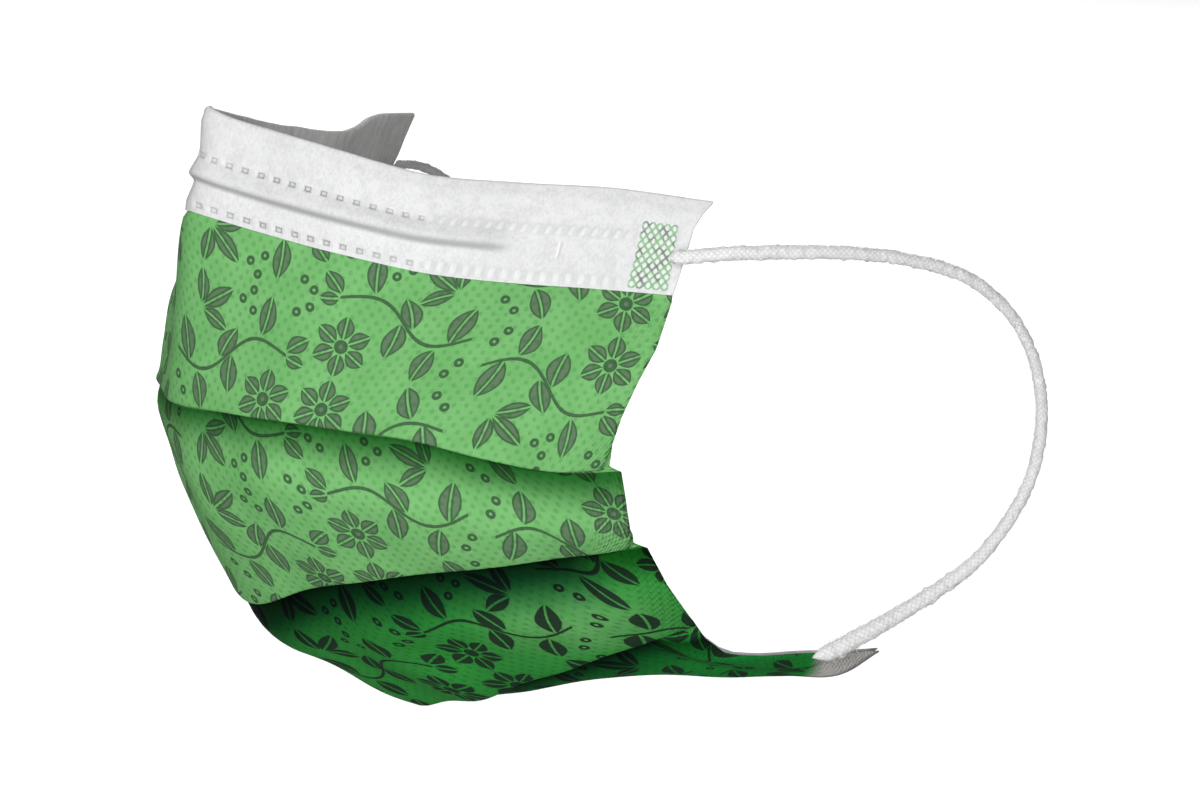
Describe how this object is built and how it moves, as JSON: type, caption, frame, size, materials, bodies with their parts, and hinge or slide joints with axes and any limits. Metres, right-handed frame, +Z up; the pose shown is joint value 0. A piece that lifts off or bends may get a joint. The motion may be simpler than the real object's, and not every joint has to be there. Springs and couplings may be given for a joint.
{
  "type": "disposable pleated face mask",
  "caption": "Disposable pleated face mask in its worn shape, green printed outer ply, white nose band with wire, and elastic ear loops.",
  "frame": {"origin": "where the middle of the top edge rests on the wearer's nose", "axes": "+Z up, the mask's front faces -Y, the wearer's left is +X, +Y points back towards the wearer's face"},
  "size_m": [0.1274, 0.1306, 0.1167],
  "materials": {
    "green_nonwoven": "matt printed spunbond nonwoven",
    "grey_white_nonwoven": "matt spunbond nonwoven",
    "white_nonwoven": "matt spunbond nonwoven with rows of weld spots",
    "coated_wire": "plastic coated wire",
    "knitted_elastic": "fuzzy knitted elastic cord"
  },
  "bodies": {
    "root": {"outer_cover": "green_nonwoven", "lining": "grey_white_nonwoven", "nose_band": "white_nonwoven", "nose_wire": "coated_wire", "ear_loop_left": "knitted_elastic", "ear_loop_right": "knitted_elastic"}
  },
  "joints": []
}
